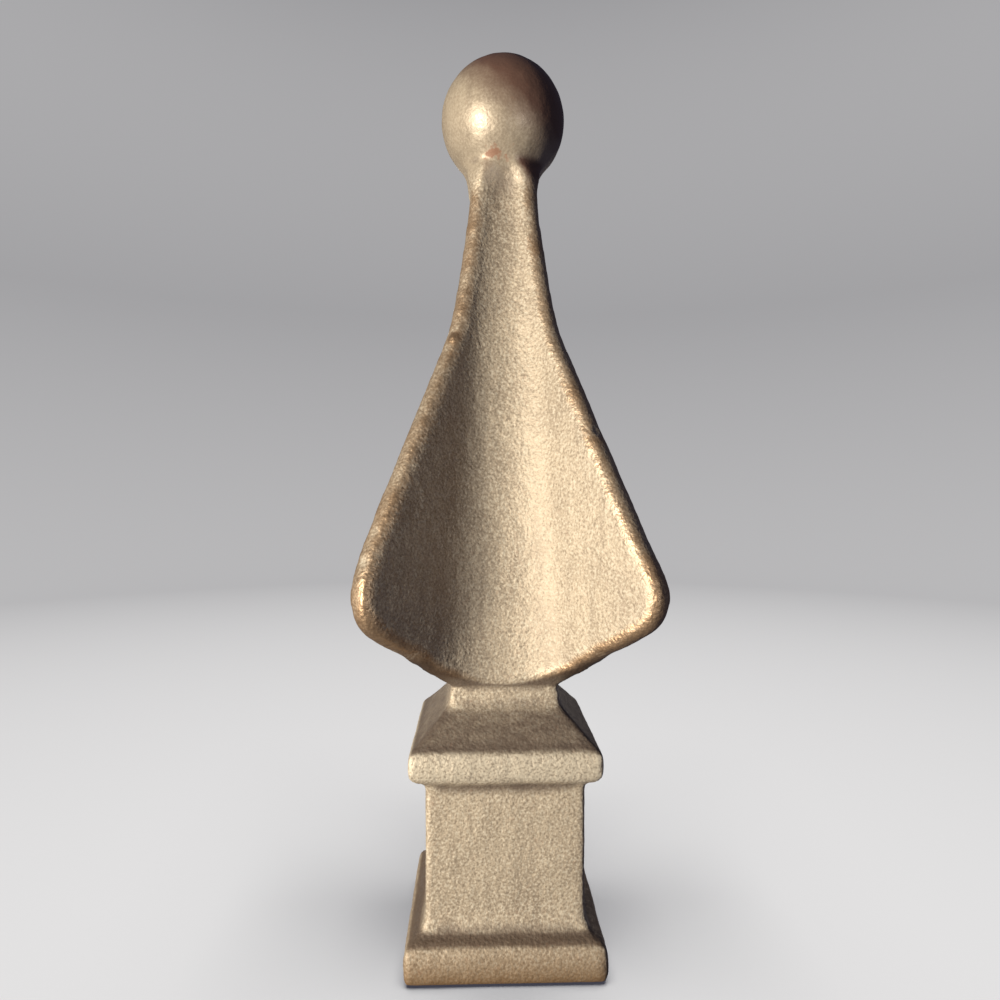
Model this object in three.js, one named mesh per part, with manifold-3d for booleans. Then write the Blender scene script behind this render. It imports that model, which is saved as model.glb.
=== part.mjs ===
// Cast fence finial, modelled as the one casting that it is: a ball over a four-sided
// flared head with scooped faces, on a square neck, collar, plinth and base.
// Millimetres, +Z up. The origin is the centre of the flat underside, and -Y is the front.
import * as THREE from "three";
import { mergeVertices } from "three/addons/utils/BufferGeometryUtils.js";
import Module from "manifold-3d";

const wasm = await Module();
wasm.setup();

// Driving dimensions: heights run up from the underside, and square sizes are half widths.
const HEIGHT = 152;
const BALL_RADIUS = 10.75;

const BASE_HALF = 15.8;
const BASE_HEIGHT = 7.2;
const BASE_FOOT_ROUND = 1.3;
const BASE_TOP_ROUND = 3.6;

const PLINTH_FOOT_HALF = 13.5;
const PLINTH_HALF = 12.8;
const PLINTH_TOP_HALF = 12.4;
const PLINTH_COVE_RISE = 5;
const PLINTH_COVE_BEND = 1;
const PLINTH_TOP = 30;

const COLLAR_HALF = 15.2;
const COLLAR_TOP = 36.7;
const COLLAR_ROUND = 1.5;
const SOFFIT_INNER_RISE = 0.4;
const SOFFIT_OUTER_RISE = 0.6;
const COLLAR_EDGE_IN = 0.7;
const COLLAR_EDGE_DROP = 0.4;

const NECK_HALF = 8.75;
const NECK_BOTTOM = 42.6;
const NECK_COVE_REACH = 10.2;
const NECK_COVE_TOP = 39.8;
const NECK_COVE_BEND = 1;
const ARRIS_ROUND = 0.9;

// The head, along a ridge: reach is measured from the axis along the diagonal.
const TIP_REACH = 30.75;
const TIP_HEIGHT = 62.7;
const TIP_ROUND = 12.2;
const UNDERSIDE_APEX = 37;
const UNDERSIDE_RISE = 0.87;
const UNDERSIDE_ARRIS = 1.2;
const RIDGE_SLOPE = 0.505;
const RIDGE_STRAIGHT_TOP = 103;
const THROAT_BEND = 8.9;
const THROAT_BEND_HEIGHT = 112.7;
const THROAT_REACH = 6.6;
const THROAT_HEIGHT = 127;
const RIDGE_TOP = 131;

// A scoop has a round bottom between two flanks at 45 degrees, which leave a fin at each corner.
// Both sizes are given at the rim and at the throat.
const SCOOP_RIM_HEIGHT = 45;
const SCOOP_RIM_ROUND = 14.8;
const SCOOP_THROAT_ROUND = 2.8;
const FIN_RIM_OFFSET = 3;
const FIN_THROAT_OFFSET = 3.3;
// Above the throat a scoop runs out on the ball, curving away from the axis.
const RUNOUT_CURVE = 0.068;
const RUNOUT_RISE = 9;

const CURVE_STEPS = 5;
const CORNER_STEPS = 3;
const BALL_SIDES = 40;
const SCOOP_COLUMNS = 22;
const SCOOP_ROWS = 26;
const SCOOP_MARGIN = 2;
const EDGE_GAP = 0.05;

const ballCentre = HEIGHT - BALL_RADIUS;

// A closed geometry as a manifold-3d solid.
function solidOf(geometry) {
  const bare = geometry.clone();
  bare.deleteAttribute("normal");
  bare.deleteAttribute("uv");
  const merged = mergeVertices(bare, 1e-4);
  return new wasm.Manifold(
    new wasm.Mesh({
      numProp: 3,
      vertProperties: new Float32Array(merged.attributes.position.array),
      triVerts: new Uint32Array(merged.index.array),
    }),
  );
}

// A manifold-3d solid as a geometry that three.js can draw.
function geometryOf(solid) {
  const mesh = solid.getMesh();
  const geometry = new THREE.BufferGeometry();
  geometry.setAttribute("position", new THREE.BufferAttribute(mesh.vertProperties, 3));
  geometry.setIndex(new THREE.BufferAttribute(mesh.triVerts, 1));
  geometry.computeVertexNormals();
  return geometry;
}

// A profile of (half width, height) points carried round a square with rounded arrises.
function squareMoulding(profile, arrisRound) {
  const perCorner = CORNER_STEPS + 1;
  const lathe = new THREE.LatheGeometry(profile, 4 * perCorner);
  const position = lathe.attributes.position;
  for (let i = 0; i < position.count; i++) {
    const point = profile[i % profile.length];
    const column = Math.floor(i / profile.length) % (4 * perCorner);
    const corner = Math.floor(column / perCorner);
    const turn = (Math.PI / 2) * (corner + (column % perCorner) / CORNER_STEPS);
    const middle = (Math.PI / 2) * (corner + 0.5);
    const round = Math.min(arrisRound, point.x);
    const reach = (point.x - round) * Math.SQRT2;
    const x = reach * Math.sin(middle) + round * Math.sin(turn);
    const z = reach * Math.cos(middle) + round * Math.cos(turn);
    position.setXYZ(i, x, point.y, z);
  }
  return lathe.rotateX(Math.PI / 2);
}

// The square stem: base, plinth, collar, cove and neck, from the underside up into the head.
function stemProfile() {
  const baseStep = PLINTH_FOOT_HALF + EDGE_GAP;
  const coveBend = BASE_HEIGHT + PLINTH_COVE_BEND;
  const soffit = new THREE.Vector2(PLINTH_TOP_HALF + COLLAR_ROUND, PLINTH_TOP + SOFFIT_INNER_RISE);
  const soffitEdge = PLINTH_TOP + SOFFIT_OUTER_RISE;
  const collarEdge = COLLAR_TOP - COLLAR_EDGE_DROP;
  const path = new THREE.Path();
  path.moveTo(0, 0);
  path.lineTo(BASE_HALF - BASE_FOOT_ROUND, 0);
  path.quadraticCurveTo(BASE_HALF, 0, BASE_HALF, BASE_FOOT_ROUND);
  path.lineTo(BASE_HALF, BASE_HEIGHT - BASE_TOP_ROUND);
  path.quadraticCurveTo(BASE_HALF, BASE_HEIGHT, baseStep, BASE_HEIGHT);
  path.lineTo(PLINTH_FOOT_HALF, BASE_HEIGHT + EDGE_GAP);
  path.quadraticCurveTo(PLINTH_HALF, coveBend, PLINTH_HALF, BASE_HEIGHT + PLINTH_COVE_RISE);
  path.lineTo(PLINTH_TOP_HALF, PLINTH_TOP - 2 * COLLAR_ROUND);
  path.quadraticCurveTo(PLINTH_TOP_HALF, PLINTH_TOP, soffit.x, soffit.y);
  path.quadraticCurveTo(COLLAR_HALF, soffitEdge, COLLAR_HALF, PLINTH_TOP + 2 * COLLAR_ROUND);
  path.lineTo(COLLAR_HALF, COLLAR_TOP - COLLAR_ROUND);
  path.quadraticCurveTo(COLLAR_HALF, collarEdge, COLLAR_HALF - COLLAR_EDGE_IN, COLLAR_TOP);
  path.lineTo(NECK_COVE_REACH, NECK_COVE_TOP);
  path.quadraticCurveTo(NECK_HALF, NECK_COVE_TOP + NECK_COVE_BEND, NECK_HALF, NECK_BOTTOM);
  path.lineTo(NECK_HALF, SCOOP_RIM_HEIGHT);
  path.lineTo(0, TIP_HEIGHT);
  return path.getPoints(CURVE_STEPS);
}

// The head's outline along a ridge: rounded tip, straight flank and drawn-in throat.
const undersideAngle = Math.atan(UNDERSIDE_RISE / Math.SQRT2);
const flankAngle = Math.atan(RIDGE_SLOPE);
const tipCentre = new THREE.Vector2(TIP_REACH - TIP_ROUND, TIP_HEIGHT);
const undersideEnd = new THREE.Vector2(Math.sin(undersideAngle), -Math.cos(undersideAngle))
  .multiplyScalar(TIP_ROUND)
  .add(tipCentre);
const flankLow = new THREE.Vector2(Math.cos(flankAngle), Math.sin(flankAngle))
  .multiplyScalar(TIP_ROUND)
  .add(tipCentre);
const flankHighReach = flankLow.x - RIDGE_SLOPE * (RIDGE_STRAIGHT_TOP - flankLow.y);

function ridgeProfile() {
  const path = new THREE.Path();
  path.moveTo(0, UNDERSIDE_APEX);
  path.lineTo(undersideEnd.x, undersideEnd.y);
  path.absarc(tipCentre.x, tipCentre.y, TIP_ROUND, undersideAngle - Math.PI / 2, flankAngle, false);
  path.lineTo(flankHighReach, RIDGE_STRAIGHT_TOP);
  path.quadraticCurveTo(THROAT_BEND, THROAT_BEND_HEIGHT, THROAT_REACH, THROAT_HEIGHT);
  path.lineTo(THROAT_REACH, RIDGE_TOP);
  path.lineTo(0, ballCentre);
  return path.getPoints(2 * CURVE_STEPS);
}

// The underside is an upturned pyramid whose four sides lie under the four scoops.
function undersideProfile() {
  const half = TIP_REACH;
  return [
    new THREE.Vector2(0, UNDERSIDE_APEX),
    new THREE.Vector2(half, UNDERSIDE_APEX + UNDERSIDE_RISE * half),
    new THREE.Vector2(half, HEIGHT),
    new THREE.Vector2(0, HEIGHT),
  ];
}

// How far a scoop's surface lies from the axis, at a distance off the middle of its face.
function scoopSurface(offset, height) {
  const share = (height - SCOOP_RIM_HEIGHT) / (THROAT_HEIGHT - SCOOP_RIM_HEIGHT);
  const round = Math.max(
    SCOOP_THROAT_ROUND,
    SCOOP_RIM_ROUND + (SCOOP_THROAT_ROUND - SCOOP_RIM_ROUND) * share,
  );
  const fin = FIN_RIM_OFFSET + (FIN_THROAT_OFFSET - FIN_RIM_OFFSET) * share * share;
  const runout = RUNOUT_CURVE * Math.max(0, height - THROAT_HEIGHT) ** 2;
  const onFlank = Math.abs(offset) > round / Math.SQRT2;
  const out = onFlank
    ? Math.abs(offset)
    : round * Math.SQRT2 - Math.sqrt(round * round - offset * offset);
  return fin + out + runout;
}

// How wide a scoop's cutter has to be at a height, to pass both of its ridges.
function cutterHalfWidth(height) {
  const flank = flankLow.x + RIDGE_SLOPE * (flankLow.y - height);
  const reach = Math.min(Math.max(flank, THROAT_REACH), TIP_REACH);
  return reach / Math.SQRT2 + SCOOP_MARGIN;
}

// The gouge that cuts one face, a block whose inner side has the scoop's surface.
function scoopCutter() {
  const bottom = UNDERSIDE_APEX;
  const rise = THROAT_HEIGHT + RUNOUT_RISE - bottom;
  const block = new THREE.BoxGeometry(2, 2, 1, SCOOP_COLUMNS, 1, SCOOP_ROWS);
  const position = block.attributes.position;
  for (let i = 0; i < position.count; i++) {
    const height = bottom + rise * (position.getZ(i) + 0.5);
    const offset = cutterHalfWidth(height) * position.getX(i);
    const inner = position.getY(i) > 0;
    const depth = inner ? scoopSurface(offset, height) : 2 * TIP_REACH;
    position.setXYZ(i, offset, -depth, height);
  }
  return block;
}

function castFinial() {
  const ridges = squareMoulding(ridgeProfile(), ARRIS_ROUND).rotateZ(Math.PI / 4);
  const underside = squareMoulding(undersideProfile(), UNDERSIDE_ARRIS);
  const ball = new THREE.SphereGeometry(BALL_RADIUS, BALL_SIDES, BALL_SIDES / 2);
  ball.rotateX(Math.PI / 2).translate(0, 0, ballCentre);
  let head = solidOf(ridges).intersect(solidOf(underside)).add(solidOf(ball));
  for (let face = 0; face < 4; face++) {
    const cutter = scoopCutter().rotateZ((face * Math.PI) / 2);
    head = head.subtract(solidOf(cutter));
  }
  const stem = squareMoulding(stemProfile(), ARRIS_ROUND);
  return geometryOf(head.add(solidOf(stem)));
}

const castMetal = new THREE.MeshStandardMaterial({
  name: "cast_metal",
  color: new THREE.Color(0.47, 0.37, 0.27),
  roughness: 0.5,
  metalness: 0.9,
});

const finial = new THREE.Group();
const casting = new THREE.Mesh(castFinial(), castMetal);
casting.name = "cast_finial";
finial.add(casting);

export default finial;
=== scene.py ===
# %% [markdown]
# # A cast fence finial
# The finial is one iron casting: a ball, a flared head with four scooped faces, and a square stem.
# This lesson builds it the way a pattern maker would: shape a blank, gouge the scoops, add a square
# moulding, pour it all as one casting, and then give the metal its sand-cast skin.
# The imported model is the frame: the new mesh sits exactly where its solid is.

# %% Load the frame
import math

import bmesh
import bpy
import numpy as np
from mathutils import Matrix, Vector, noise


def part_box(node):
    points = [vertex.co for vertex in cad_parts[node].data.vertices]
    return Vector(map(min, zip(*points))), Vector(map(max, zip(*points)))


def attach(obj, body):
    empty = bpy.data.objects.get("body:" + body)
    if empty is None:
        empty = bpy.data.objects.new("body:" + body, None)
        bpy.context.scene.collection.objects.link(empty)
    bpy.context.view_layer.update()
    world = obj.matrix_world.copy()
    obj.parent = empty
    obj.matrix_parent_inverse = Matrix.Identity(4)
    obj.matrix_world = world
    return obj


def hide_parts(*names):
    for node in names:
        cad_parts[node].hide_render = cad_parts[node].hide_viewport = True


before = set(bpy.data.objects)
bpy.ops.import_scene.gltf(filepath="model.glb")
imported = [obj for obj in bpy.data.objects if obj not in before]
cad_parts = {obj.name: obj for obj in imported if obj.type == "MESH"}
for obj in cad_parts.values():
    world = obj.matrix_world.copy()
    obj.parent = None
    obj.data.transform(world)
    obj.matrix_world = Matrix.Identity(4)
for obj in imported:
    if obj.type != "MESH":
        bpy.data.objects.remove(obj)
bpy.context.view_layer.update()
solid_low, solid_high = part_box("cast_finial")
MM = 0.001
print("casting:", [round(side / MM, 1) for side in solid_high - solid_low], "mm")

# %% [markdown]
# ## The camera
# The photograph is a close-up, so its perspective is strong: the front of the base looks wide and
# the ball is seen from below. A wide lens close to the object gives that look, and a long lens
# further off never would, so the camera is placed before any shape is judged.

# %% Place the camera
LENS = 26.0
SENSOR = 36.0
CAMERA_DISTANCE = 127.0 * MM
CAMERA_HEIGHT = 77.1 * MM
CAMERA_SWING = math.radians(1.9)
AIM_LEFT = 0.49 * MM
AIM_DROP = 1.54 * MM
NEAREST_SEEN = 5 * MM


def place_camera():
    data = bpy.data.cameras.new("close_up_camera")
    data.lens = LENS
    data.sensor_width = SENSOR
    data.clip_start = NEAREST_SEEN
    camera = bpy.data.objects.new("close_up_camera", data)
    bpy.context.collection.objects.link(camera)
    towards = Vector((math.sin(CAMERA_SWING), math.cos(CAMERA_SWING), 0))
    right = Vector((towards.y, -towards.x, 0))
    camera.location = -CAMERA_DISTANCE * towards
    camera.location.z = CAMERA_HEIGHT
    aim = -AIM_LEFT * right
    aim.z = CAMERA_HEIGHT - AIM_DROP
    camera.rotation_euler = (aim - camera.location).to_track_quat("-Z", "Y").to_euler()
    bpy.context.scene.camera = camera
    return camera


camera = place_camera()
print("camera at", [round(value / MM, 1) for value in camera.location], "mm")

# %% [markdown]
# ## Profiles
# Head, stem and backdrop all follow a profile of straight lines, arcs and soft curves. Two helpers
# make the curved stretches, so that a profile only names the points that matter. A profile is a
# string of points in an upright plane: distance from the axis first, height second.

# %% Profile helpers
TURN = 2 * math.pi
CLOSE_TOGETHER = 0.002 * MM


def at(reach, height):
    return Vector((reach, height))


def arc(centre, radius, start, end, steps):
    angles = [start + (end - start) * step / steps for step in range(steps + 1)]
    return [centre + radius * at(math.cos(angle), math.sin(angle)) for angle in angles]


def bend(start, pull, end, steps):
    """A soft curve that leaves its start towards the pull point and arrives at its end from it."""
    shares = [step / steps for step in range(steps + 1)]
    return [start * (1 - s) ** 2 + pull * 2 * s * (1 - s) + end * s * s for s in shares]


print("profile helpers: at, arc, bend")

# %% [markdown]
# A spin carries a profile round the upright axis. With many steps it turns round work on a lathe,
# and with four steps it mitres a square moulding, as a joiner does. Doubled points on the axis are
# merged afterwards, and the normals are made to point outwards.

# %% Spin helpers
def spun(profile, direction, steps):
    """The closed solid that a profile sweeps, starting in the upright plane of a direction."""
    shape = bmesh.new()
    verts = [shape.verts.new((direction.x * p.x, direction.y * p.x, p.y)) for p in profile]
    for low, high in zip(verts, verts[1:]):
        shape.edges.new((low, high))
    bmesh.ops.spin(
        shape, geom=shape.verts[:] + shape.edges[:], cent=(0, 0, 0), axis=(0, 0, 1),
        angle=TURN, steps=steps, use_merge=True, use_duplicate=False,
    )
    bmesh.ops.remove_doubles(shape, verts=shape.verts[:], dist=CLOSE_TOGETHER)
    bmesh.ops.recalc_face_normals(shape, faces=shape.faces[:])
    return shape


def as_object(shape, name):
    mesh = bpy.data.meshes.new(name)
    shape.to_mesh(mesh)
    shape.free()
    piece = bpy.data.objects.new(name, mesh)
    bpy.context.collection.objects.link(piece)
    return piece


print("spin helpers: spun, as_object")

# %% [markdown]
# ## The head's blank
# Seen along a diagonal, the head has a rounded tip, a straight flank, and a throat that draws in
# below the ball. Seen from below, it is an upturned pyramid. Each outline is spun in four steps,
# one with its flats across the corners and one with its flats across the faces, and the blank is
# what the two solids share.

# %% Shape the blank
TIP_ROUND = 9.0 * MM
TIP_REACH = 32.1 * MM
TIP_HEIGHT = 61.55 * MM
UNDERSIDE_APEX = 38 * MM
UNDERSIDE_RISE = 0.82
FLANK_SLOPE = 0.505
FLANK_TOP = 103 * MM
THROAT_BEND = at(9.45 * MM, 112.7 * MM)
THROAT_TOP = at(7.25 * MM, 127 * MM)
RIDGE_TOP = 131 * MM
BALL_RADIUS = 10.75 * MM
BALL_HEIGHT = solid_high.z - BALL_RADIUS
BLANK_STEPS = 24
APEX_SPARE = 2 * MM

underside_angle = math.atan(UNDERSIDE_RISE / math.sqrt(2))
flank_angle = math.atan(FLANK_SLOPE)
tip_arc = arc(
    at(TIP_REACH - TIP_ROUND, TIP_HEIGHT), TIP_ROUND, underside_angle - TURN / 4, flank_angle, BLANK_STEPS
)
flank_low = tip_arc[-1]
flank_high = at(flank_low.x - FLANK_SLOPE * (FLANK_TOP - flank_low.y), FLANK_TOP)
ridge_profile = [at(0, UNDERSIDE_APEX - APEX_SPARE)] + tip_arc
ridge_profile += bend(flank_high, THROAT_BEND, THROAT_TOP, BLANK_STEPS)
ridge_profile += [at(THROAT_TOP.x, RIDGE_TOP), at(0, BALL_HEIGHT)]
underside_profile = [
    at(0, UNDERSIDE_APEX),
    at(TIP_REACH, UNDERSIDE_APEX + UNDERSIDE_RISE * TIP_REACH),
    at(TIP_REACH, BALL_HEIGHT),
    at(0, BALL_HEIGHT),
]
ACROSS_CORNERS = Vector((math.sqrt(2), 0, 0))
ACROSS_FACES = Vector((1, 1, 0))
blank = as_object(spun(ridge_profile, ACROSS_CORNERS, 4), "head_blank")
underside = as_object(spun(underside_profile, ACROSS_FACES, 4), "underside")
print("tip at", [round(value / MM, 2) for value in (TIP_REACH, TIP_HEIGHT)], "mm")

# %% [markdown]
# ## The ball
# The ball is fused to the throat, so a plain sphere that overlaps the blank is enough. The gouge of
# the next step also nicks it from below.

# %% Make the ball
BALL_SEGMENTS = 96
ball_shape = bmesh.new()
bmesh.ops.create_uvsphere(
    ball_shape, u_segments=BALL_SEGMENTS, v_segments=BALL_SEGMENTS // 2, radius=BALL_RADIUS,
    matrix=Matrix.Translation((0, 0, BALL_HEIGHT)),
)
ball = as_object(ball_shape, "ball")
print("ball:", round(2 * BALL_RADIUS / MM, 1), "mm across")

# %% [markdown]
# ## The four scoops
# Each face is hollowed like a trough: a round bottom between two flanks at 45 degrees, so that a fin
# of even thickness is left at each corner. The trough is wide at the rim, tightens towards the
# throat and runs out on the ball. A grid takes the shape of that trough, an extrusion turns it into
# a cutter, and a spin with copies sets one cutter at each face.

# %% Shape the gouge
RIM_HEIGHT = 45 * MM
RIM_ROUND = 15.6 * MM
THROAT_ROUND = 5.6 * MM
RIM_FIN = 3.0 * MM
THROAT_FIN = 2.2 * MM
RUNOUT_CURVE = 0.068 / MM
RUNOUT_RISE = 9 * MM
CUTTER_MARGIN = 2 * MM
CUTTER_COLUMNS = 64
CUTTER_ROWS = 140


def scoop_depth(offset, height):
    """How far out from the axis a scoop's surface lies, at an offset from the middle of its face."""
    share = (height - RIM_HEIGHT) / (THROAT_TOP.y - RIM_HEIGHT)
    radius = max(THROAT_ROUND, RIM_ROUND + (THROAT_ROUND - RIM_ROUND) * share)
    fin = RIM_FIN + (THROAT_FIN - RIM_FIN) * share * share
    runout = RUNOUT_CURVE * max(0, height - THROAT_TOP.y) ** 2
    if abs(offset) > radius / math.sqrt(2):
        return fin + abs(offset) + runout
    return fin + radius * math.sqrt(2) - math.sqrt(radius * radius - offset * offset) + runout


def cutter_half_width(height):
    flank = flank_low.x + FLANK_SLOPE * (flank_low.y - height)
    reach = min(max(flank, THROAT_TOP.x), TIP_REACH)
    return reach / math.sqrt(2) + CUTTER_MARGIN


# %% Set a gouge at each face
def gouge():
    shape = bmesh.new()
    bmesh.ops.create_grid(shape, x_segments=CUTTER_COLUMNS, y_segments=CUTTER_ROWS, size=1)
    low = UNDERSIDE_APEX
    high = THROAT_TOP.y + RUNOUT_RISE
    for vert in shape.verts:
        height = low + (high - low) * (vert.co.y + 1) / 2
        offset = vert.co.x * cutter_half_width(height)
        vert.co = (offset, -scoop_depth(offset, height), height)
    pulled = bmesh.ops.extrude_face_region(shape, geom=shape.faces[:])
    outer = [part for part in pulled["geom"] if isinstance(part, bmesh.types.BMVert)]
    bmesh.ops.translate(shape, verts=outer, vec=(0, -2 * TIP_REACH, 0))
    bmesh.ops.spin(
        shape, geom=shape.verts[:] + shape.edges[:] + shape.faces[:], cent=(0, 0, 0), axis=(0, 0, 1),
        angle=TURN * 3 / 4, steps=3, use_merge=False, use_duplicate=True,
    )
    bmesh.ops.recalc_face_normals(shape, faces=shape.faces[:])
    return as_object(shape, "gouge")


cutter = gouge()
print("gouge:", len(cutter.data.polygons), "faces in four cutters")

# %% [markdown]
# ## The square stem
# Base, plinth, collar, cove and neck are one square moulding, so one profile spun in four steps
# makes them all. The soft curves in it are the draft and the fillets that let a pattern leave the
# sand without tearing it.

# %% Draw the base and the plinth
BASE_HALF = 16.1 * MM
BASE_HEIGHT = 6.8 * MM
BASE_FOOT_ROUND = 1.8 * MM
BASE_TOP_ROUND = 3.6 * MM
PLINTH_FOOT_HALF = 13.9 * MM
PLINTH_HALF = 12.75 * MM
PLINTH_COVE_RISE = 5 * MM
PLINTH_COVE_BEND = 1 * MM
STEP_GAP = 0.05 * MM
CURVE_STEPS = 10

base_profile = bend(
    at(BASE_HALF - BASE_FOOT_ROUND, 0), at(BASE_HALF, 0), at(BASE_HALF, BASE_FOOT_ROUND), CURVE_STEPS
)
base_profile += bend(
    at(BASE_HALF, BASE_HEIGHT - BASE_TOP_ROUND), at(BASE_HALF, BASE_HEIGHT),
    at(PLINTH_FOOT_HALF, BASE_HEIGHT), CURVE_STEPS,
)
plinth_profile = bend(
    at(PLINTH_FOOT_HALF, BASE_HEIGHT + STEP_GAP), at(PLINTH_HALF, BASE_HEIGHT + PLINTH_COVE_BEND),
    at(PLINTH_HALF, BASE_HEIGHT + PLINTH_COVE_RISE), CURVE_STEPS,
)
print("base:", round(2 * BASE_HALF / MM, 1), "mm square")

# %% Draw the collar, the cove and the neck
PLINTH_TOP = 30.7 * MM
SOFFIT_DROP = 1.2 * MM
SOFFIT = at(13.9 * MM, 31.1 * MM)
COLLAR_HALF = 15.35 * MM
COLLAR_TOP = 36.7 * MM
COLLAR_SWELL = at(COLLAR_HALF, 31.3 * MM)
COLLAR_BAND = (33.5 * MM, 34.3 * MM)
COLLAR_EDGE = at(14.3 * MM, COLLAR_TOP)
COLLAR_EDGE_PULL = at(COLLAR_HALF, 36.3 * MM)
COVE_LOW = at(10.1 * MM, 41.0 * MM)
NECK_HALF = 8.95 * MM
NECK_LOW = at(NECK_HALF, 43.5 * MM)
NECK_PULL = at(NECK_HALF, 42.0 * MM)
NECK_TOP = at(NECK_HALF, 44.3 * MM)
NECK_WAIST = at(8.2 * MM, 45.1 * MM)
HEAD_CORE = 54 * MM

collar_profile = bend(
    at(PLINTH_HALF, PLINTH_TOP - SOFFIT_DROP), at(PLINTH_HALF, PLINTH_TOP), SOFFIT, CURVE_STEPS
)
collar_profile += bend(SOFFIT, COLLAR_SWELL, at(COLLAR_HALF, COLLAR_BAND[0]), CURVE_STEPS)[1:]
collar_profile += bend(at(COLLAR_HALF, COLLAR_BAND[1]), COLLAR_EDGE_PULL, COLLAR_EDGE, CURVE_STEPS)
neck_profile = bend(COVE_LOW, NECK_PULL, NECK_LOW, CURVE_STEPS)
neck_profile += [NECK_TOP, NECK_WAIST, at(NECK_WAIST.x, HEAD_CORE), at(0, HEAD_CORE)]
print("collar:", round(2 * COLLAR_HALF / MM, 1), "mm square, neck:", round(2 * NECK_HALF / MM, 1))

# %% Mould the stem
stem_profile = [at(0, 0)] + base_profile + plinth_profile + collar_profile + neck_profile
stem = as_object(spun(stem_profile, ACROSS_FACES, 4), "square_stem")
print("stem:", len(stem.data.polygons), "faces")

# %% [markdown]
# ## One casting
# The parts of the pattern are cut and then poured as one. Booleans make the cuts, and a voxel
# remesh pours everything into one skin of even small faces. Smoothing that skin rounds each
# edge a little, as sand and draft do on a real casting, and the head above its lower rim a little
# more. A bevel could not do that: the edges where fins, ball and neck run into each other are too
# irregular for it.

# %% Cut and pour
SKIN_SIZE = 0.52 * MM


def applied(piece):
    """Replaces a piece's mesh by the one that its modifiers give."""
    graph = bpy.context.evaluated_depsgraph_get()
    mesh = bpy.data.meshes.new_from_object(piece.evaluated_get(graph))
    piece.modifiers.clear()
    piece.data = mesh
    return piece


def cut(piece, tool, operation):
    boolean = piece.modifiers.new("cut", "BOOLEAN")
    boolean.operation = operation
    boolean.solver = "EXACT"
    boolean.object = tool
    return applied(piece)


def pour(parts, name):
    shape = bmesh.new()
    for part in parts:
        shape.from_mesh(part.data)
    piece = as_object(shape, name)
    remesh = piece.modifiers.new("skin", "REMESH")
    remesh.mode = "VOXEL"
    remesh.voxel_size = SKIN_SIZE
    return applied(piece)


cut(blank, underside, "INTERSECT")
cut(blank, cutter, "DIFFERENCE")
cut(ball, cutter, "DIFFERENCE")
casting = pour([blank, ball, stem], "casting")
for spent in (blank, underside, ball, stem, cutter):
    bpy.data.objects.remove(spent)
print("poured:", len(casting.data.polygons), "faces")

# %% Soften all edges
SOFTENING = 4
HEAD_SOFTENING = 10
CRISP_RIM_TOP = 49 * MM
SMOOTH_SHARE = 0.5


def soften(piece, rounds, chosen=None):
    """Smooths a piece's skin, or only the vertices that are chosen by a test of their place."""
    shape = bmesh.new()
    shape.from_mesh(piece.data)
    verts = [vert for vert in shape.verts if chosen is None or chosen(vert.co)]
    for _ in range(rounds):
        bmesh.ops.smooth_vert(
            shape, verts=verts, factor=SMOOTH_SHARE, use_axis_x=True, use_axis_y=True, use_axis_z=True
        )
    shape.to_mesh(piece.data)
    shape.free()
    return len(verts)


def above_rim(place):
    return place.z > CRISP_RIM_TOP


print("softened", soften(casting, SOFTENING), "vertices")
print("softened again", soften(casting, HEAD_SOFTENING, above_rim), "vertices of the head")

# %% [markdown]
# The ridges are rounder than the other edges, like a bullnose. More rounds of the same smoothing,
# on the crests alone, turn their flat ends into noses. The rounds come in three stages, each on a
# shorter stretch, so that no step shows where a nose ends.

# %% Round the ridges
STAGE_ROUNDS = 9
STAGE_INSETS = (0, 1.2 * MM, 2.4 * MM)
NOSE_DEPTH = 2.6 * MM


def ridge_reach(height):
    """How far a ridge reaches along its diagonal at a height."""
    if height < flank_low.y:
        drop = min(abs(height - TIP_HEIGHT), TIP_ROUND)
        return TIP_REACH - TIP_ROUND + math.sqrt(TIP_ROUND**2 - drop**2)
    if height < FLANK_TOP:
        return flank_low.x - FLANK_SLOPE * (height - flank_low.y)
    share = (height - FLANK_TOP) / (THROAT_TOP.y - FLANK_TOP)
    return flank_high.x + (THROAT_TOP.x - flank_high.x) * share


def round_ridges(inset):
    low = RIM_HEIGHT + inset
    high = RIDGE_TOP - 2 * inset

    def on_nose(place):
        along = (abs(place.x) + abs(place.y)) / math.sqrt(2)
        return low < place.z < high and along > ridge_reach(place.z) - NOSE_DEPTH + inset / 2

    return soften(casting, STAGE_ROUNDS, on_nose)


print("ridge noses:", [round_ridges(inset) for inset in STAGE_INSETS], "vertices")
casting.data.polygons.foreach_set("use_smooth", [True] * len(casting.data.polygons))

# %% [markdown]
# ## Marks of the mould
# No sand casting is as true as its pattern. The head came out a little skewed at its tips, the skin
# has low lumps, a thin seam of flash runs down the ridge where the two halves of the mould met, and
# the ridges carry a nub and a few nicks. All of these are real shape, so they move the vertices.

# %% Read the skin
def read_skin(mesh):
    count = len(mesh.vertices)
    places = np.empty(3 * count)
    normals = np.empty(3 * count)
    mesh.vertices.foreach_get("co", places)
    mesh.vertices.foreach_get("normal", normals)
    return places.reshape(-1, 3), normals.reshape(-1, 3)


def write_skin(mesh, places):
    mesh.vertices.foreach_set("co", places.ravel())
    mesh.update()


def noise_over(places, size, shift):
    """Smooth noise between -1 and 1 at each place, with features of a size."""
    return np.array([noise.noise(Vector(place) / size + shift) for place in places])


places, normals = read_skin(casting.data)
print("skin:", len(places), "vertices")

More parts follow.
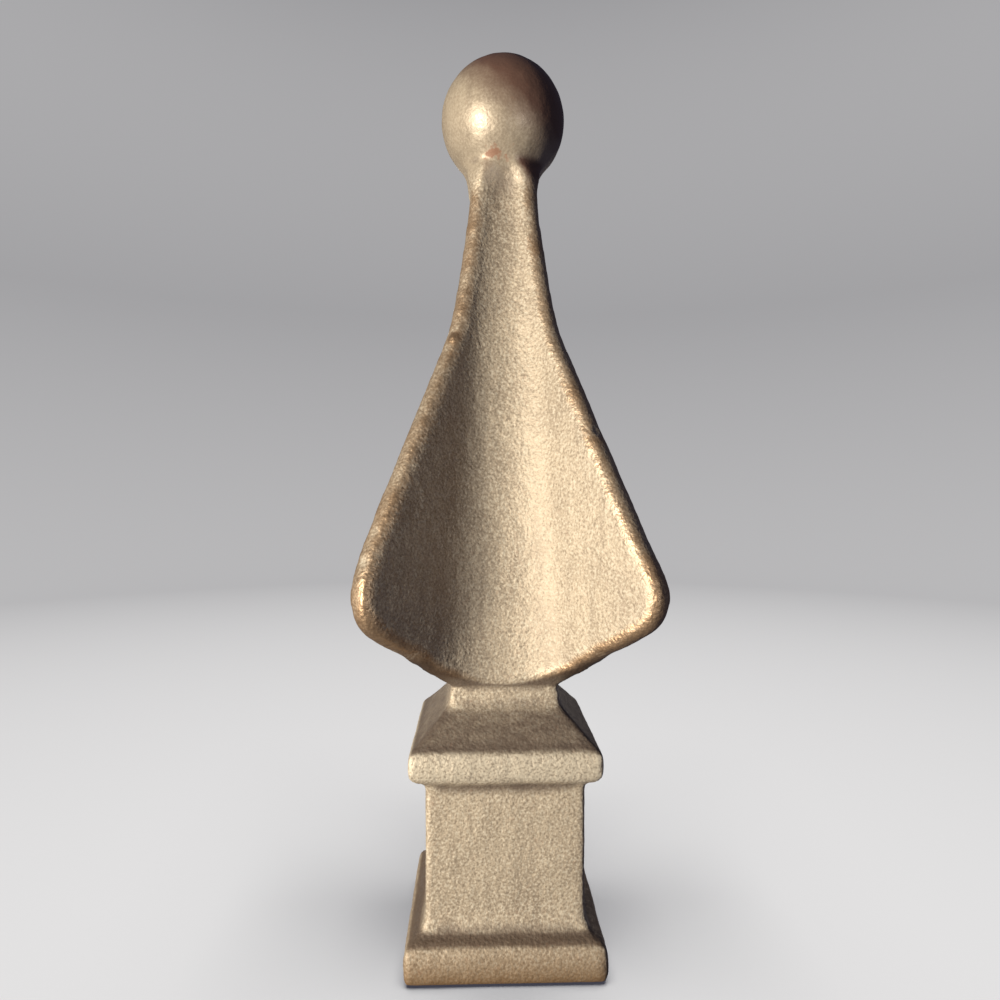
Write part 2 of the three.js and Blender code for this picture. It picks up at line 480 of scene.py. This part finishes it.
# %% Lumps and skew
LUMP_SIZE = 6 * MM
LUMP_RISE = 0.11 * MM
LUMP_SHIFT = Vector((3, 1, 4))
PIT_SIZE = 1.5 * MM
PIT_RISE = 0.05 * MM
PIT_SHIFT = Vector((1, 5, 9))
FLAT_FOOT = 2 * MM
SKEW = 0.55 * MM
SKEW_HEIGHT = 61 * MM
SKEW_SPREAD = 7 * MM

lumps = LUMP_RISE * noise_over(places, LUMP_SIZE, LUMP_SHIFT)
lumps += PIT_RISE * noise_over(places, PIT_SIZE, PIT_SHIFT)
off_foot = np.clip(places[:, 2] / FLAT_FOOT, 0, 1)
moved = places + normals * (lumps * off_foot)[:, None]
skew = SKEW * np.exp(-(((places[:, 2] - SKEW_HEIGHT) / SKEW_SPREAD) ** 2))
outward = np.clip(np.hypot(places[:, 0], places[:, 1]) / TIP_REACH, 0, 1)
moved[:, 0] += skew * outward
print("lumps up to", round(np.abs(lumps).max() / MM, 2), "mm")

# %% Seam, nub and nicks
SEAM_RISE = 0.06 * MM
SEAM_HALF_WIDTH = 0.45 * MM
SEAM_BEAD = 3.5 * MM
SEAM_SHIFT = Vector((2, 7, 1))
SEAM_MEAN = 0.6
SEAM_WANDER = 0.8
SEAM_LOW = 50 * MM
SEAM_HIGH = 128 * MM
# Each scar: side of the front ridge, height, shift towards the scoop, rise and radius, in millimetres.
SCARS = [
    (-1, 102.0, 0.9, 0.45, 0.75),
    (-1, 66.9, 0.4, -0.2, 0.7),
    (-1, 71.2, 0.4, -0.2, 0.6),
    (1, 86.7, 0.3, -0.35, 0.8),
]


def crest(side, height, shift):
    """A point on a front ridge: its crest, or a shift from there towards the front scoop."""
    reach = ridge_reach(height)
    return np.array([side * (reach - shift), -reach - shift, math.sqrt(2) * height]) / math.sqrt(2)


off_seam = (places[:, 0] - places[:, 1]) / math.sqrt(2)
seam = SEAM_RISE * np.exp(-((off_seam / SEAM_HALF_WIDTH) ** 2))
seam *= SEAM_MEAN + SEAM_WANDER * noise_over(places, SEAM_BEAD, SEAM_SHIFT)
seam *= (places[:, 2] > SEAM_LOW) & (places[:, 2] < SEAM_HIGH)
moved += normals * seam[:, None]
for side, height, shift, rise, radius in SCARS:
    away = np.linalg.norm(places - crest(side, height * MM, shift * MM), axis=1) / (radius * MM)
    moved += normals * (rise * MM * np.exp(-(away**2)))[:, None]
write_skin(casting.data, moved)
print("scars on the front ridges:", len(SCARS))

# %% [markdown]
# ## Where the metal is worn, and where shade and highlight are painted
# Hands and weather polish the ridges to a coppery brown and smooth the ball. The ball is painted
# darker brown towards its top and its right side, away from the low key light: partly brown patina,
# partly painted shade. The outer band of the collar is painted pale as a highlight, and the hollows,
# the upward ledges of the stem and the underside of the head are darkened with painted shade. How
# much the skin bulges tells ridges and hollows apart. It is measured once on the mesh, by comparing
# each vertex with its neighbours, and kept as attributes that the material reads.

# %% Measure the bulge
BULGE_BLUR = 5
BULGE_FULL_SHARE = 95


def neighbour_mean(values, pairs):
    """The mean of a value over the neighbours of each vertex."""
    count = np.bincount(pairs.ravel(), minlength=len(values))
    total = np.bincount(pairs[:, 0], values[pairs[:, 1]], len(values))
    total += np.bincount(pairs[:, 1], values[pairs[:, 0]], len(values))
    return total / count


places, normals = read_skin(casting.data)
pairs = np.empty(2 * len(casting.data.edges), dtype=np.int32)
casting.data.edges.foreach_get("vertices", pairs)
pairs = pairs.reshape(-1, 2)
around = np.column_stack([neighbour_mean(places[:, axis], pairs) for axis in range(3)])
bulge = ((places - around) * normals).sum(axis=1)
for _ in range(BULGE_BLUR):
    bulge = neighbour_mean(bulge, pairs)
bulge /= np.percentile(bulge, BULGE_FULL_SHARE)
print("bulge from", round(bulge.min(), 2), "to", round(bulge.max(), 2))

# %% Keep the wear, the painted shade of the ball and the painted collar highlight as attributes
FADE = 5 * MM
BALL_BROWN = 0.2
BALL_DARK_SIDE = np.array([0.7, -0.25, 0.8])
STEM_WEAR = 0.1
HIGHLIGHT_START = 14.3 * MM
HIGHLIGHT_DEPTH = 0.8 * MM


def keep(name, values):
    layer = casting.data.attributes.new(name, "FLOAT", "POINT")
    layer.data.foreach_set("value", np.clip(values, 0, 1))


heights = places[:, 2]
on_ball = np.clip((heights - THROAT_TOP.y) / FADE, 0, 1)
above_stem = np.clip((heights - NECK_LOW.y) / FADE, STEM_WEAR, 1)
keep("worn", bulge * above_stem * (1 - on_ball))
keep("polish", on_ball)
# Painted shade on the ball: darker brown towards its top and right, away from the low key light, over
# some brown patina.
keep("ball_patina_and_shade", on_ball * (BALL_BROWN + normals @ BALL_DARK_SIDE))
# Painted highlight: the outer band of the collar is lightened.
on_collar = (heights > PLINTH_TOP) & (heights < COLLAR_TOP)
standing_out = np.abs(places[:, :2]).max(axis=1) - HIGHLIGHT_START
keep("collar_highlight", on_collar * standing_out / HIGHLIGHT_DEPTH)
print("wear kept on", len(heights), "vertices")

# %% Keep the painted shade and the rust as attributes
LEDGE_STEEP = 0.45
LEDGE_SHADE = 1.9
OVERHANG_START = 0.2
OVERHANG_SPREAD = 0.4
OVERHANG_TOP = 55 * MM
RUST_PLACE = np.array([-1.4, -7.2, 133.0]) * MM
RUST_REACH = np.array([1.9, 1.6, 1.2]) * MM

# Painted shade: hollows, the upward ledges of the stem and the underside of the head above the neck are
# darkened where shade falls.
ledge = np.clip((normals[:, 2] - LEDGE_STEEP) / (1 - LEDGE_STEEP), 0, 1) * (heights < NECK_LOW.y)
overhang = np.clip((-normals[:, 2] - OVERHANG_START) / OVERHANG_SPREAD, 0, 1) * (heights > NECK_LOW.y)
overhang *= np.clip((OVERHANG_TOP - heights) / FADE, 0, 1)
keep("painted_shade", np.maximum(np.maximum(-bulge, LEDGE_SHADE * ledge), overhang))
keep("rust", np.exp(-(np.linalg.norm((places - RUST_PLACE) / RUST_REACH, axis=1) ** 2)))
print("attributes:", [layer.name for layer in casting.data.attributes if layer.data_type == "FLOAT"])

# %% [markdown]
# ## Shader helpers
# A material is a small graph of nodes. Four helpers keep its lines short: they add a node with its
# settings, mix two colours by a factor, stretch a value to a new range, and do sums. Every pattern
# reads Object coordinates, so it stays on the metal when the camera moves.

# %% Node helpers
def add_node(tree, kind, values=(), **settings):
    """Adds a node, sets its properties, and links or sets the inputs named in values."""
    node = tree.nodes.new(kind)
    for name, setting in settings.items():
        setattr(node, name, setting)
    for name, value in dict(values).items():
        if isinstance(value, bpy.types.NodeSocket):
            tree.links.new(value, node.inputs[name])
        else:
            node.inputs[name].default_value = value
    return node


MIX_FACTOR, MIX_FIRST, MIX_SECOND, MIX_RESULT = 0, 6, 7, 2


def blend(tree, factor, first, second):
    values = {MIX_FACTOR: factor, MIX_FIRST: first, MIX_SECOND: second}
    return add_node(tree, "ShaderNodeMix", values, data_type="RGBA").outputs[MIX_RESULT]


def spread(tree, value, low, high, new_low=0.0, new_high=1.0):
    """Stretches a value between two limits to a new range, and clips it there."""
    values = {"Value": value, "From Min": low, "From Max": high, "To Min": new_low, "To Max": new_high}
    return add_node(tree, "ShaderNodeMapRange", values).outputs["Result"]


def maths(tree, operation, first, second):
    return add_node(tree, "ShaderNodeMath", {0: first, 1: second}, operation=operation).outputs[0]


print("node helpers ready")

# %% [markdown]
# ## Grain
# Sand leaves its grain on the metal, and the paper of the backdrop has a tooth of its own. Both are
# fine noise at two sizes, so one node group serves both materials, each with its own grain size.

# %% Build the grain group
FINE_DETAIL = 1.5
COARSE_DETAIL = 1.0
COARSE_SHARE = 0.4


def grain_group():
    tree = bpy.data.node_groups.new("grain", "ShaderNodeTree")
    place = tree.interface.new_socket("Place", in_out="INPUT", socket_type="NodeSocketVector")
    place.hide_value = True
    tree.interface.new_socket("Fineness", in_out="INPUT", socket_type="NodeSocketFloat")
    tree.interface.new_socket("Height", in_out="OUTPUT", socket_type="NodeSocketFloat")
    ends = add_node(tree, "NodeGroupInput"), add_node(tree, "NodeGroupOutput")
    where, fineness = ends[0].outputs["Place"], ends[0].outputs["Fineness"]
    fine_values = {"Vector": where, "Scale": fineness, "Detail": FINE_DETAIL}
    fine = add_node(tree, "ShaderNodeTexNoise", fine_values)
    coarse_scale = maths(tree, "MULTIPLY", fineness, COARSE_SHARE)
    coarse_values = {"Vector": where, "Scale": coarse_scale, "Detail": COARSE_DETAIL}
    coarse = add_node(tree, "ShaderNodeTexNoise", coarse_values)
    both = maths(tree, "ADD", fine.outputs[0], coarse.outputs[0])
    tree.links.new(maths(tree, "MULTIPLY", both, 0.5), ends[1].inputs["Height"])
    return tree


grain = grain_group()
print("grain group:", len(grain.nodes), "nodes")

# %% [markdown]
# ## The cast metal
# The casting has a warm bronze-brown finish with a soft sheen: half paint, half bare metal. The
# base colour wanders over centimetres and speckles over half a millimetre. Worn ridges are coppery.
# The ball is darker brown on its top and right, partly patina, partly painted shade. The collar's
# outer band is painted pale as a highlight, hollows, ledges and the head's underside carry painted
# shade, the base is darker and browner towards its bottom, and a rust patch sits where a groove
# ends under the ball. First the patterns: noise at four sizes, and the attributes that were kept on
# the mesh.

# %% Gather the patterns of the metal
# Each noise: its scale and its detail.
CLOUD = (130, 3)
SPECK = (2600, 1)
STREAK = (420, 2)
RAGGED = (900, 2)
STREAK_DRAG = (1, 1, 0.12)
BALL_CALM = 0.3

metal = bpy.data.materials.new("cast_metal")
metal.use_nodes = True
tree = metal.node_tree
shader = tree.nodes["Principled BSDF"]
where = add_node(tree, "ShaderNodeTexCoord").outputs["Object"]


def kept(name):
    return add_node(tree, "ShaderNodeAttribute", attribute_name=name).outputs["Fac"]


def noise_of(place, scale, detail):
    values = {"Vector": place, "Scale": scale, "Detail": detail}
    return add_node(tree, "ShaderNodeTexNoise", values).outputs[0]


worn, polish, ball_patina_and_shade = kept("worn"), kept("polish"), kept("ball_patina_and_shade")
collar_highlight, painted_shade, rust = kept("collar_highlight"), kept("painted_shade"), kept("rust")
cloud = noise_of(where, *CLOUD)
speck = noise_of(where, *SPECK)
dragged = add_node(tree, "ShaderNodeMapping", {"Vector": where, "Scale": STREAK_DRAG}).outputs[0]
streak = noise_of(dragged, *STREAK)
ragged = noise_of(where, *RAGGED)
calm = spread(tree, polish, 0, 1, 1, BALL_CALM)
print("patterns:", len(tree.nodes), "nodes")

# %% [markdown]
# Each pattern then adds its colour to the ones before it. The four numbers of a range say where in
# the pattern the colour starts and is full, and how much of it shows at those two places.

# %% Mix the colours of the metal
TAN = (0.60, 0.475, 0.33, 1)
PALE = (0.80, 0.69, 0.52, 1)
UMBER = (0.30, 0.22, 0.15, 1)
COPPER = (0.48, 0.30, 0.165, 1)
LIVER = (0.20, 0.095, 0.065, 1)
SHADE_COLOUR = (0.16, 0.11, 0.08, 1)
FOOT_BROWN = (0.24, 0.125, 0.045, 1)
RUST = (0.36, 0.14, 0.07, 1)
CLOUD_STAIN = (0.45, 0.75, 0, 0.35)
STREAK_STAIN = (0.5, 0.75, 0, 0.4)
PALE_SPECKS = (0.52, 0.66, 0, 0.65)
DARK_SPECKS = (0.46, 0.32, 0, 0.6)
COLLAR_HIGHLIGHT_SHOWN = (0, 1, 0, 0.5)
WEAR_PATCHES = (0.25, 0.6, 0.7, 1.0)
WEAR_SHOWN = (0.35, 0.8, 0, 0.85)
BROWN_SHOWN = (0.1, 0.65, 0, 0.92)
SHADE_SHOWN = (0.3, 1.0, 0, 0.85)
FOOT_DARKENING = (BASE_HEIGHT + 1 * MM, 0, 0, 0.95)
RUST_RAGGED = (0.3, 0.7, -0.45, 0.45)
RUST_SHOWN = (0.4, 0.75, 0, 0.75)

colour = blend(tree, spread(tree, cloud, *CLOUD_STAIN), TAN, UMBER)
colour = blend(tree, spread(tree, streak, *STREAK_STAIN), colour, UMBER)
# Painted highlight: the collar's outer band turns pale.
colour = blend(tree, spread(tree, collar_highlight, *COLLAR_HIGHLIGHT_SHOWN), colour, PALE)
colour = blend(tree, maths(tree, "MULTIPLY", spread(tree, speck, *PALE_SPECKS), calm), colour, PALE)
colour = blend(tree, maths(tree, "MULTIPLY", spread(tree, speck, *DARK_SPECKS), calm), colour, UMBER)
worn_patchy = maths(tree, "MULTIPLY", worn, spread(tree, cloud, *WEAR_PATCHES))
colour = blend(tree, spread(tree, worn_patchy, *WEAR_SHOWN), colour, COPPER)
# Painted shade on the ball: its top and right side turn dark brown.
colour = blend(tree, spread(tree, ball_patina_and_shade, *BROWN_SHOWN), colour, LIVER)
# Painted shade: hollows, ledges and the head's underside turn dark brown.
colour = blend(tree, spread(tree, painted_shade, *SHADE_SHOWN), colour, SHADE_COLOUR)
# The base is darker and browner towards its bottom.
height = add_node(tree, "ShaderNodeSeparateXYZ", {"Vector": where}).outputs["Z"]
colour = blend(tree, spread(tree, height, *FOOT_DARKENING), colour, FOOT_BROWN)
rust_patch = spread(tree, maths(tree, "ADD", rust, spread(tree, ragged, *RUST_RAGGED)), *RUST_SHOWN)
colour = blend(tree, rust_patch, colour, RUST)
tree.links.new(colour, shader.inputs["Base Color"])
print("cast metal:", len(tree.nodes), "nodes")

# %% [markdown]
# Worn and polished metal shines more than the sandy skin, and rust hardly shines at all. The grain
# itself is too fine for the mesh, so a bump carries it, and the handled ball has less of it. The
# casting is kept out of its own bounced light, so that a bright flank does not light the dark one.

# %% Give the metal its sheen and grain
GRAIN_FINENESS = 2000.0
GRAIN_RISE = 0.24 * MM
BARE_METAL = (0.3, 0.9, 0.25, 0.7)
RUST_OVER_METAL = (0, 1, 1, 0.1)
SHEEN = (0.3, 0.7, 0.52, 0.68)
RUBBED_SMOOTHER = -0.18
RUST_ROUGHER = 0.3

bare = spread(tree, worn, *BARE_METAL)
metallic = maths(tree, "MULTIPLY", bare, spread(tree, rust_patch, *RUST_OVER_METAL))
tree.links.new(metallic, shader.inputs["Metallic"])
smoothed = maths(tree, "MULTIPLY", maths(tree, "MAXIMUM", worn, polish), RUBBED_SMOOTHER)
roughness = maths(tree, "ADD", spread(tree, speck, *SHEEN), smoothed)
roughness = maths(tree, "ADD", roughness, maths(tree, "MULTIPLY", rust_patch, RUST_ROUGHER))
tree.links.new(roughness, shader.inputs["Roughness"])
skin = add_node(tree, "ShaderNodeGroup", node_tree=grain)
tree.links.new(where, skin.inputs["Place"])
skin.inputs["Fineness"].default_value = GRAIN_FINENESS
bump_values = {"Height": skin.outputs["Height"], "Distance": GRAIN_RISE, "Strength": calm}
bump = add_node(tree, "ShaderNodeBump", bump_values)
tree.links.new(bump.outputs["Normal"], shader.inputs["Normal"])
print("grain about", round(1 / GRAIN_FINENESS / MM, 2), "mm")

# %% Put the metal on the casting
casting.data.materials.clear()
casting.data.materials.append(metal)
casting.visible_diffuse = False
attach(casting, "root")
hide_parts("cast_finial")
print("casting:", len(casting.data.polygons), "faces")

# %% [markdown]
# ## The backdrop
# The finial stands on a sheet of pale paper that curves up all round, so that every view has the
# same plain ground. A profile spun about the axis makes the sweep. The paper is kept out of
# reflections, because a bright floor would wash out the dark sides that give the scoops their depth.

# %% Lay the paper
SWEEP_RADIUS = 0.8
SWEEP_CURVE = 0.3
SWEEP_WALL = 0.9
SWEEP_STEPS = 96
PAPER_FINENESS = 900.0
PAPER_RISE = 0.02 * MM
PAPER_WHITE = (0.80, 0.79, 0.77, 1)
PAPER_ROUGHNESS = 0.9
PAPER_GLOSS = 0.1

sweep_arc = arc(at(SWEEP_RADIUS - SWEEP_CURVE, SWEEP_CURVE), SWEEP_CURVE, -TURN / 4, 0, BLANK_STEPS)
sweep_profile = [at(0, 0)] + sweep_arc + [at(SWEEP_RADIUS, SWEEP_WALL)]
sweep = as_object(spun(sweep_profile, Vector((1, 0, 0)), SWEEP_STEPS), "pale_sweep")
sweep.data.polygons.foreach_set("use_smooth", [True] * len(sweep.data.polygons))
paper = bpy.data.materials.new("pale_paper")
paper.use_nodes = True
paper_tree = paper.node_tree
paper_shader = paper_tree.nodes["Principled BSDF"]
paper_shader.inputs["Base Color"].default_value = PAPER_WHITE
paper_shader.inputs["Roughness"].default_value = PAPER_ROUGHNESS
paper_shader.inputs["Specular IOR Level"].default_value = PAPER_GLOSS
tooth = add_node(paper_tree, "ShaderNodeGroup", node_tree=grain)
tooth.inputs["Fineness"].default_value = PAPER_FINENESS
paper_place = add_node(paper_tree, "ShaderNodeTexCoord").outputs["Object"]
paper_tree.links.new(paper_place, tooth.inputs["Place"])
tooth_values = {"Height": tooth.outputs["Height"], "Distance": PAPER_RISE}
paper_bump = add_node(paper_tree, "ShaderNodeBump", tooth_values)
paper_tree.links.new(paper_bump.outputs["Normal"], paper_shader.inputs["Normal"])
sweep.data.materials.append(paper)
sweep.visible_glossy = False
sweep.visible_diffuse = False
print("sweep:", len(sweep.data.polygons), "faces")

# %% [markdown]
# ## The light
# One warm softbox stands low on the left, in line with the right flanks of the scoops, so those
# flanks are bright, the left ones are dark, and the cove that faces up stays dim. A weak cool fill
# on the right adds a second, cooler glint, a soft lamp behind shows the back in other views, and a
# lamp for the paper alone keeps the floor pale. Each lamp lights only the casting or only the paper,
# so that no hot spot shows where a softbox stands close to the floor.

# %% Softbox helpers
def softbox(name, place, target, size, power, colour):
    data = bpy.data.lights.new(name, "AREA")
    data.shape = "SQUARE"
    data.size = size
    data.energy = power
    data.color = colour
    lamp = bpy.data.objects.new(name, data)
    bpy.context.collection.objects.link(lamp)
    lamp.location = place
    lamp.rotation_euler = (target - place).to_track_quat("-Z", "Y").to_euler()
    lamp.visible_camera = False
    return lamp


def around_axis(azimuth, distance, height):
    """A place round the finial: azimuth 0 is the front, and positive azimuths are on the right."""
    angle = math.radians(azimuth)
    return Vector((math.sin(angle) * distance, -math.cos(angle) * distance, height))


print("lamp helpers: softbox, around_axis")

# %% Light the casting and the paper
WARM = (1.0, 0.965, 0.875)
WARMER = (1.0, 0.94, 0.84)
COOL = (0.88, 0.94, 1.0)
WHITE = (1, 1, 1)
HEAD_MIDDLE = Vector((0, 0, 80 * MM))
FLOOR_MIDDLE = Vector((0, 0, 0))
KEY_PLACE = around_axis(-46, 0.40, 0.05)
FILL_PLACE = around_axis(32, 0.40, 0.03)
BACK_PLACE = around_axis(180, 0.42, 0.12)
OVER_PAPER = Vector((0, -0.1, 0.9))

key = softbox("key_softbox", KEY_PLACE, HEAD_MIDDLE, size=0.09, power=2.2, colour=WARM)
fill = softbox("fill_softbox", FILL_PLACE, HEAD_MIDDLE, size=0.05, power=0.2, colour=COOL)
fill.visible_diffuse = False
back = softbox("back_softbox", BACK_PLACE, HEAD_MIDDLE, size=0.2, power=0.9, colour=WARMER)
paper_lamp = softbox("paper_lamp", OVER_PAPER, FLOOR_MIDDLE, size=0.7, power=9.0, colour=WHITE)
for lit, lamps in ((casting, (key, fill, back)), (sweep, (paper_lamp,))):
    only = bpy.data.collections.new(lit.name + "_only")
    only.objects.link(lit)
    for lamp in lamps:
        lamp.light_linking.receiver_collection = only
print("lamps:", key.name, fill.name, back.name, paper_lamp.name)

# %% Dim the room
ROOM_TINT = (0.62, 0.64, 1.0, 1)
ROOM_STRENGTH = 0.07

world = bpy.data.worlds.new("dim_room")
world.use_nodes = True
background = world.node_tree.nodes["Background"]
background.inputs["Color"].default_value = ROOM_TINT
background.inputs["Strength"].default_value = ROOM_STRENGTH
bpy.context.scene.world = world
bpy.context.scene.view_settings.view_transform = "Standard"
print("room light:", ROOM_STRENGTH)
